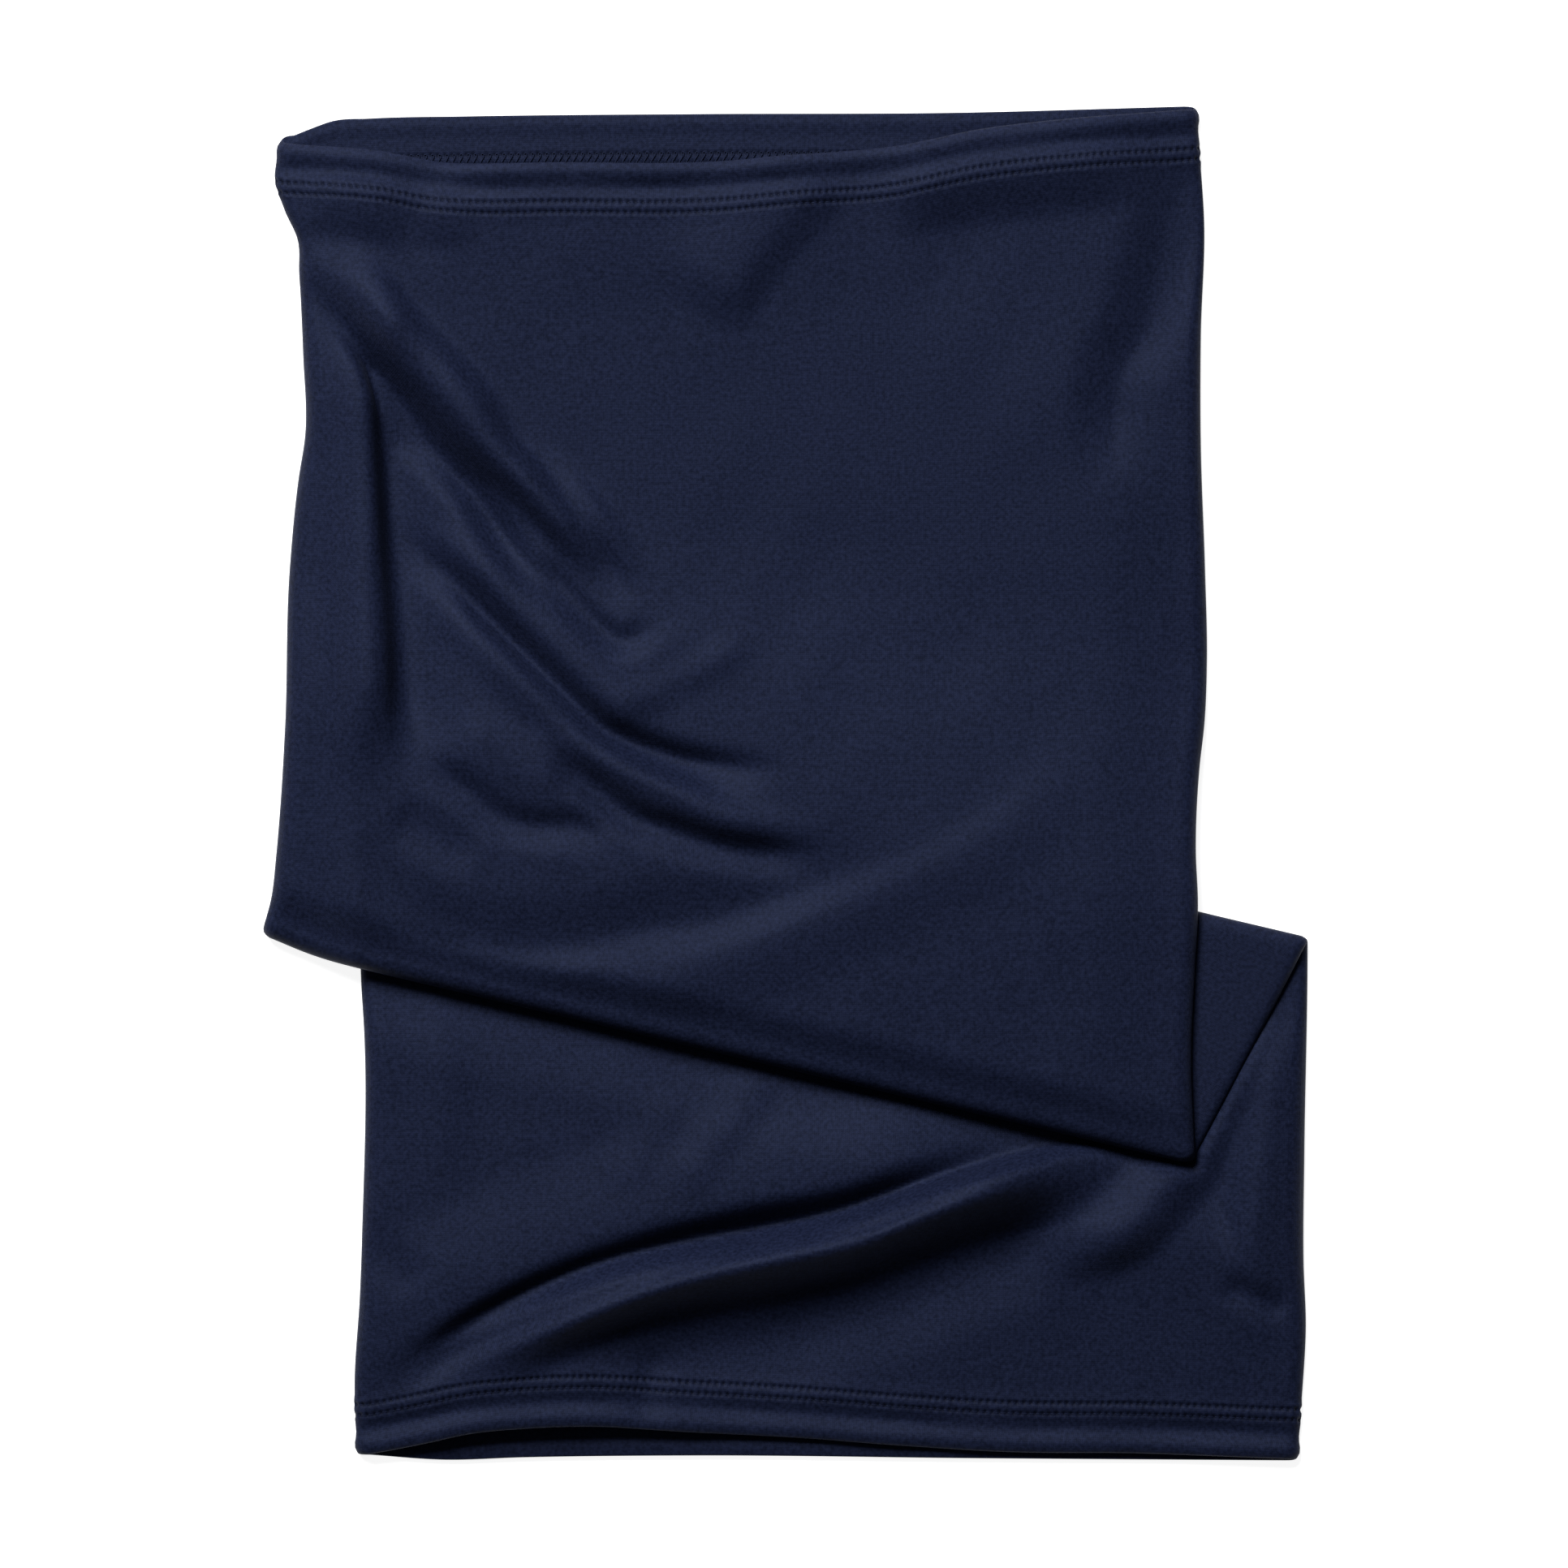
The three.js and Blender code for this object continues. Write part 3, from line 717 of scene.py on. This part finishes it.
def face_rows(grain):
    """One face of the sheet from raw edge to raw edge, as (hem, place, off, inside, fine) rows. grain
    is 1 for the face and -1 for the back of the cloth. A body row has no hem, and its place is a
    function of the share across."""

    def hem_rows(hem):
        turned, edge, outer = [], [], []
        radius = EDGE_RADIUS + grain * HALF_CLOTH
        turned_off = TURNED_OFF - grain * HALF_CLOTH
        for depth, fine in hem_depths():
            if depth < HEM - 0.2:
                turned.append((hem, depth, turned_off, True, fine))
            outer.append((hem, depth, grain * HALF_CLOTH, False, fine))
        turned.append((hem, HEM, turned_off, True, False))
        for angle in np.linspace(-math.pi / 2, math.pi / 2, 7):
            depth = EDGE_RADIUS - radius * math.cos(angle)
            off = TURNED_OFF / 2 + radius * math.sin(angle)
            edge.append((hem, depth, off, False, False))
        return [*turned[::-1], *edge, *outer]

    body = [(None, row, grain * HALF_CLOTH, False, False) for row in body_rows()]
    return [*hem_rows(hems["upper"]), *body, *hem_rows(hems["lower"])[::-1]]


def lay_rows(rows, grain):
    """Points of every row, with each one's tau, place along the cloth and the needle holes' painted
    shade, and the rows' sizes.
    """
    taus, downs, offs, shades, alongs, sizes = [], [], [], [], [], []
    for hem, place, off, inside, fine in rows:
        fine = fine and grain > 0
        tau = finer if fine else coarse
        share = section(tau)[0]
        shade = np.zeros_like(tau)
        off = np.full_like(tau, off)
        if hem is None:
            down = place(share)
            off = off - SEAM_DENT * bump((tau - (3 - SEAM_SHARE)) * PLY_WIDTH, 0.9)
            along = down
        else:
            down = np.full_like(tau, hem.down(place))
            along = hem.down(-place) if inside else down
            along = np.broadcast_to(along, tau.shape)
            if grain > 0:
                off = off + hem.relief(tau, place, inside) * (-INSIDE_RELIEF if inside else 1)
                # The needle holes' painted shade: where the cloth's colour is darkened to stand in for
                # the shade inside each hole.
                for row in (0, 1):
                    shade = np.maximum(shade, hem.hole(tau, place, row))
        taus.append(tau)
        downs.append(down)
        offs.append(off)
        shades.append(shade)
        alongs.append(along)
        sizes.append(len(tau))
    tau = np.concatenate(taus)
    points = surface(tau, np.concatenate(downs), np.concatenate(offs))
    return points, tau, np.concatenate(alongs), np.concatenate(shades), sizes


def bridge(start_a, size_a, start_b, size_b, flip):
    """Faces between two closed rows, where one may have FINE times the other's points."""
    n = min(size_a, size_b)
    a, b = size_a // n, size_b // n
    faces = []
    for i in range(n):
        lower = [start_a + (i * a + k) % size_a for k in range(a + 1)]
        upper = [start_b + (i * b + k) % size_b for k in range(b + 1)]
        if a == b:
            quads = zip(lower[:-1], lower[1:], upper[1:], upper[:-1])
        else:
            quads = [[*lower, *upper[::-1]]]
        faces += [list(q)[::-1] if flip else list(q) for q in quads]
    return faces


def make_cloth():
    """The whole cloth: both faces of the sheet, joined at its raw edges."""
    points, taus, alongs, shades, faces, starts = [], [], [], [], [], []
    total = 0
    for grain in (1, -1):
        laid, tau, along, shade, sizes = lay_rows(face_rows(grain), grain)
        at = total + np.concatenate([[0], np.cumsum(sizes)])
        for i in range(len(sizes) - 1):
            faces += bridge(at[i], sizes[i], at[i + 1], sizes[i + 1], grain < 0)
        starts.append((at[0], at[len(sizes) - 1]))
        points.append(laid)
        taus.append(tau)
        alongs.append(along)
        shades.append(shade)
        total += len(tau)
    n = len(coarse)
    faces += bridge(starts[0][0], n, starts[1][0], n, True)
    faces += bridge(starts[0][1], n, starts[1][1], n, False)
    cloth = make_object("gaiter_cloth", np.concatenate(points), faces)
    add_knit_map(cloth.data, np.concatenate(taus), np.concatenate(alongs))
    # The mask of painted shade at the needle holes, read by the jersey material to darken its colour
    # there.
    shade = cloth.data.attributes.new("needle_hole", "FLOAT", "POINT")
    shade.data.foreach_set("value", np.concatenate(shades).astype(np.float32))
    return cloth


def make_object(name, points, faces):
    """A new object from points in millimetres."""
    mesh = bpy.data.meshes.new(name)
    mesh.from_pydata((points * MM).tolist(), [], faces)
    mesh.polygons.foreach_set("use_smooth", [True] * len(mesh.polygons))
    mesh.update()
    obj = bpy.data.objects.new(name, mesh)
    bpy.context.collection.objects.link(obj)
    return obj


def add_knit_map(mesh, tau, along):
    """A UV map in millimetres round and along the cloth, for the knit's columns and rows."""
    hem = hems["upper"]
    circumference = hem.around[-1]
    corner = np.zeros(len(mesh.loops), np.int32)
    mesh.loops.foreach_get("vertex_index", corner)
    round_tube = np.interp(tau, hem.tau, hem.around)[corner]
    starts = np.zeros(len(mesh.polygons), np.int32)
    mesh.polygons.foreach_get("loop_start", starts)
    highest = np.maximum.reduceat(round_tube, starts)
    sizes = np.diff(np.append(starts, len(corner)))
    wraps = np.repeat(highest, sizes) - round_tube > circumference / 2
    uv = np.column_stack([round_tube + wraps * circumference, along[corner]])
    layer = mesh.uv_layers.new(name="knit")
    layer.data.foreach_set("uv", uv.astype(np.float32).ravel())


def ring_faces(rings, sides, closed):
    """Faces from ring to ring of points, closed on themselves or with a cap at each end."""
    faces = []
    for i in range(rings if closed else rings - 1):
        a, b = i * sides, (i + 1) % rings * sides
        for k in range(sides):
            m = (k + 1) % sides
            faces.append([a + k, a + m, b + m, b + k])
    if not closed:
        end = (rings - 1) * sides
        faces.append(list(range(sides))[::-1])
        faces.append(list(range(end, end + sides)))
    return faces


# ---- Threads ----


def thread_along(name, path, radius, closed=True, sides=6):
    """A round thread along a path of points in millimetres, closed on itself or capped."""
    if closed:
        ahead = np.roll(path, -1, axis=0) - np.roll(path, 1, axis=0)
    else:
        ahead = np.gradient(path, axis=0)
    ahead /= np.linalg.norm(ahead, axis=1, keepdims=True)
    up = np.tile([0.0, 0.0, 1.0], (len(path), 1))
    side = np.cross(ahead, up)
    weak = np.linalg.norm(side, axis=1) < 0.2
    side[weak] = np.cross(ahead[weak], [0.0, 1.0, 0.0])
    side /= np.linalg.norm(side, axis=1, keepdims=True)
    over = np.cross(side, ahead)
    angle = np.arange(sides) * 2 * math.pi / sides
    ring = side[:, None] * np.cos(angle)[None, :, None] + over[:, None] * np.sin(angle)[None, :, None]
    points = (path[:, None] + radius * ring).reshape(-1, 3)
    return make_object(name, points, ring_faces(len(path), sides, closed))


def needle_thread(hem, row):
    """One needle's thread: over the cloth from hole to hole, and down into each hole."""
    per_stitch, bedded, dive = 6, 0.06, 0.7
    at = np.arange(hem.count * per_stitch) / per_stitch
    over = np.abs(np.sin(math.pi * at))
    tau = hem.tau_at(at + ROW_LAG * row)
    depth = NEEDLE_ROWS[row] + 0.06 * np.sin(2 * math.pi * at)
    off = HALF_CLOTH - bedded - dive * (1 - over) ** 1.3
    path = surface(tau, hem.down(depth), off)
    name = f"{hem.name}_hem_needle_thread_{row + 1}"
    return thread_along(f"{name}_stitches", path, NEEDLE_THREAD)


def looper_thread(hem):
    """The looper's thread: loops across both rows on the turned ply inside the hem."""
    per_stitch, reach, curl = 12, 1.75, 0.33
    at = np.arange(hem.count * per_stitch) / per_stitch
    tau = hem.tau_at(at + curl * np.sin(4 * math.pi * at))
    depth = ROWS_MIDDLE + reach * np.sin(2 * math.pi * at)
    inner = TURNED_OFF - HALF_CLOTH - LOOPER_THREAD
    off = inner + 0.06 - 0.12 * np.cos(2 * math.pi * at)
    path = surface(tau, hem.down(depth), off)
    return thread_along(f"{hem.name}_hem_looper_thread_loops", path, LOOPER_THREAD, sides=5)


# ---- Side seam ----


def seam_tau(beside):
    """tau on the back ply, `beside` millimetres to the right of the seam line."""
    return 3 - SEAM_SHARE - beside / PLY_WIDTH


def seam_downs(step):
    """Places down the seam, which ends a little before each hem's raw edge."""
    start, end = HEM + 0.6, LENGTH - HEM - 0.6
    return np.linspace(start, end, round((end - start) / step))


def seam_allowance():
    """The panel's two edges, sewn together and pressed to the right of the seam line."""
    beside = np.array([0.0, 0.4, 2, 4, SEAM_WIDTH - 0.3, SEAM_WIDTH])
    low = HALF_CLOTH + 0.08
    thickness = np.array([0.35, 0.85, 0.95, 0.95, 0.85, 0.45])
    ring_beside = np.concatenate([beside, beside[::-1]])
    ring_off = np.concatenate([np.full(len(beside), low), low + thickness[::-1]])
    downs = seam_downs(1.6)
    n = len(ring_beside)
    tau = np.tile(seam_tau(ring_beside), len(downs))
    points = surface(tau, np.repeat(downs, n), np.tile(-ring_off, len(downs)))
    return make_object("side_seam_plies", points, ring_faces(len(downs), n, closed=False))


def overlock_thread():
    """Overlock loops round the allowance's cut edge."""
    loop, per_loop = 2.4, 12
    half_wide, half_high = 1.9, 0.62
    downs = seam_downs(loop / per_loop)
    turn = np.arange(len(downs)) / per_loop * 2 * math.pi
    beside = SEAM_WIDTH - 1.6 + half_wide * np.cos(turn)
    off = -(HALF_CLOTH + half_high + half_high * np.sin(turn))
    path = surface(seam_tau(beside), downs, off)
    return thread_along("side_seam_overlock_loops", path, OVERLOCK_THREAD, closed=False, sides=5)


# ---- Materials ----


class Nodes:
    """A small helper for node materials."""

    def __init__(self, name):
        self.material = bpy.data.materials.new(name)
        self.material.use_nodes = True
        self.tree = self.material.node_tree
        self.tree.nodes.clear()
        self.shader = self.add("ShaderNodeBsdfPrincipled")
        output = self.add("ShaderNodeOutputMaterial")
        self.link(self.shader.outputs["BSDF"], output.inputs["Surface"])

    def add(self, kind, **values):
        node = self.tree.nodes.new(kind)
        for key, value in values.items():
            setattr(node, key, value)
        return node

    def link(self, source, target):
        self.tree.links.new(source, target)

    def math(self, operation, a, b=None):
        node = self.add("ShaderNodeMath", operation=operation)
        for socket, value in zip(node.inputs, (a, b)):
            if isinstance(value, (int, float)):
                socket.default_value = value
            elif value is not None:
                self.link(value, socket)
        return node.outputs[0]

    def noise(self, scale, detail=2.0):
        place = self.add("ShaderNodeTexCoord")
        node = self.add("ShaderNodeTexNoise")
        node.inputs["Scale"].default_value = scale
        node.inputs["Detail"].default_value = detail
        self.link(place.outputs["Object"], node.inputs["Vector"])
        return node.outputs["Fac"]

    def ramp(self, source, *stops):
        node = self.add("ShaderNodeValToRGB")
        elements = node.color_ramp.elements
        while len(elements) < len(stops):
            elements.new(0.5)
        for element, (place, colour) in zip(elements, stops):
            element.position = place
            element.color = (*colour, 1)
        self.link(source, node.inputs["Fac"])
        return node.outputs["Color"]

    def bump(self, height, distance):
        node = self.add("ShaderNodeBump")
        node.inputs["Distance"].default_value = distance
        node.inputs["Strength"].default_value = 1.0
        self.link(height, node.inputs["Height"])
        self.link(node.outputs["Normal"], self.shader.inputs["Normal"])


WALE, COURSE = 0.72, 0.55  # width of the knit's columns and height of its rows
NAVY_DARK, NAVY_LIGHT = (0.0020, 0.0032, 0.0106), (0.0072, 0.0102, 0.0282)
THREAD_DARK, THREAD_LIGHT = (0.0030, 0.0048, 0.0145), (0.0085, 0.0115, 0.030)
# Colour painted into the needle holes as the shade inside them.
HOLE_PAINTED_SHADE = (0.0008, 0.001, 0.003, 1)


def grey(value):
    return (value, value, value)


def soft_finish(shader, roughness, sheen, tint):
    """Cloth's and thread's dull finish, with a bluish sheen."""
    shader.inputs["Roughness"].default_value = roughness
    shader.inputs["Specular IOR Level"].default_value = 0.113
    shader.inputs["Specular Tint"].default_value = (0.55, 0.65, 1, 1)
    shader.inputs["Sheen Weight"].default_value = sheen
    shader.inputs["Sheen Roughness"].default_value = 0.45
    shader.inputs["Sheen Tint"].default_value = (*tint, 1)


def jersey_material():
    """Fine navy jersey: columns of knit stitches, a soft mottle, a slight sheen and painted shade
    darkening the needle holes.
    """
    n = Nodes("navy_jersey")
    soft_finish(n.shader, 0.63, 0.025, (0.42, 0.5, 0.85))
    place = n.add("ShaderNodeUVMap", uv_map="knit")
    split = n.add("ShaderNodeSeparateXYZ")
    n.link(place.outputs["UV"], split.inputs[0])
    wale = n.math("MULTIPLY", split.outputs["X"], 1 / WALE)
    across = n.math("ABSOLUTE", n.math("SUBTRACT", n.math("FRACT", wale), 0.5))
    course = n.math("MULTIPLY", split.outputs["Y"], 1 / COURSE)
    leg = n.math("SINE", n.math("MULTIPLY", n.math("ADD", course, across), 2 * math.pi))
    column = n.math("SINE", n.math("MULTIPLY", across, 2 * math.pi))
    knit = n.math("MULTIPLY", column, n.math("ADD", n.math("MULTIPLY", leg, 0.35), 0.65))
    mottle = n.noise(1000, 2.5)
    cloud = n.noise(28, 3)
    tone = n.math("ADD", n.math("MULTIPLY", mottle, 0.93), n.math("MULTIPLY", cloud, 0.07))
    tone = n.math("ADD", tone, n.math("MULTIPLY", n.math("SUBTRACT", knit, 0.4), 0.025))
    colour = n.ramp(tone, (0.3, NAVY_DARK), (0.7, NAVY_LIGHT))
    # Painted shade: the cloth's colour is darkened towards HOLE_PAINTED_SHADE at each needle hole,
    # standing in for the shade inside the hole.
    hole = n.add("ShaderNodeAttribute", attribute_name="needle_hole")
    painted_hole_shade = n.add("ShaderNodeMix", data_type="RGBA")
    painted_hole_shade.inputs["B"].default_value = HOLE_PAINTED_SHADE
    n.link(n.math("MULTIPLY", hole.outputs["Fac"], 0.9), painted_hole_shade.inputs["Factor"])
    n.link(colour, painted_hole_shade.inputs["A"])
    n.link(painted_hole_shade.outputs["Result"], n.shader.inputs["Base Color"])
    n.bump(n.math("ADD", n.math("MULTIPLY", knit, 0.5), n.math("MULTIPLY", mottle, 1.5)), 0.00006)
    return n.material


def thread_material():
    """Spun polyester thread, with its fibres' mottle."""
    n = Nodes("navy_thread")
    soft_finish(n.shader, 0.6, 0.03, (0.5, 0.58, 0.9))
    fibre = n.noise(3200, 2)
    colour = n.ramp(fibre, (0.35, THREAD_DARK), (0.65, THREAD_LIGHT))
    n.link(colour, n.shader.inputs["Base Color"])
    n.bump(fibre, 0.00005)
    return n.material


def floor_material():
    """A pale floor that also glows a little, so that it shows hardly any shadow."""
    n = Nodes("pale_floor")
    n.shader.inputs["Roughness"].default_value = 0.9
    n.shader.inputs["Specular IOR Level"].default_value = 0.1
    cloud = n.noise(3, 2)
    colour = n.ramp(cloud, (0.3, grey(0.5)), (0.7, grey(0.53)))
    glow = n.ramp(cloud, (0.3, grey(0.87)), (0.7, grey(0.89)))
    n.link(colour, n.shader.inputs["Base Color"])
    n.link(glow, n.shader.inputs["Emission Color"])
    n.shader.inputs["Emission Strength"].default_value = 1.0
    return n.material


# ---- Build ----

jersey = jersey_material()
thread = thread_material()


def place_piece(piece, slot, material, *nodes):
    piece.data.materials.append(material)
    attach(piece, "root")
    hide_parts(*nodes)
    return piece


cloth = place_piece(
    make_cloth(),
    "jersey",
    jersey,
    "tube_upper_run",
    "tube_middle_run",
    "tube_lower_run",
    "upper_hem_turned_ply",
    "lower_hem_turned_ply",
)
for hem in hems.values():
    for row in (0, 1):
        node = f"{hem.name}_hem_needle_thread_{row + 1}"
        place_piece(needle_thread(hem, row), "sewing_thread", thread, node)
    node = f"{hem.name}_hem_looper_thread"
    place_piece(looper_thread(hem), "sewing_thread", thread, node)
place_piece(seam_allowance(), "jersey", jersey, "side_seam_allowance")
place_piece(overlock_thread(), "sewing_thread", thread, "side_seam_overlock_thread")

bpy.ops.mesh.primitive_plane_add(size=12, location=(0, 0, 0))
floor = bpy.context.object
floor.name = "floor"
floor.data.materials.append(floor_material())

# ---- Camera and light ----

VIEW_WIDTH = 415.4  # of the picture at the cloth's height, in millimetres
CLOTH_HEIGHT = 6
CAMERA_HEIGHT = 2000
SENSOR = 36

camera = bpy.data.cameras.new("camera")
camera.sensor_width = SENSOR
camera.lens = SENSOR * (CAMERA_HEIGHT - CLOTH_HEIGHT) / VIEW_WIDTH
camera_object = bpy.data.objects.new("camera", camera)
camera_object.location = (0, 0, CAMERA_HEIGHT * MM)
bpy.context.collection.objects.link(camera_object)
bpy.context.scene.camera = camera_object


def area_light(name, azimuth, elevation, distance, size, power):
    """A square soft box that faces the gaiter. Azimuth 0 stands at +Y and 90 at +X."""
    light = bpy.data.lights.new(name, "AREA")
    light.size = size
    light.energy = power
    obj = bpy.data.objects.new(name, light)
    a, e = math.radians(azimuth), math.radians(elevation)
    toward = (math.sin(a) * math.cos(e), math.cos(a) * math.cos(e), math.sin(e))
    obj.location = [distance * c for c in toward]
    obj.rotation_euler = (math.pi / 2 - e, 0, math.pi - a)
    bpy.context.collection.objects.link(obj)


area_light("key", azimuth=-24, elevation=44, distance=2.4, size=1.0, power=119)

world = bpy.data.worlds.new("studio")
world.use_nodes = True
world.node_tree.nodes["Background"].inputs["Color"].default_value = (1, 1, 1, 1)
world.node_tree.nodes["Background"].inputs["Strength"].default_value = 0.08
bpy.context.scene.world = world
bpy.context.scene.view_settings.view_transform = "Standard"
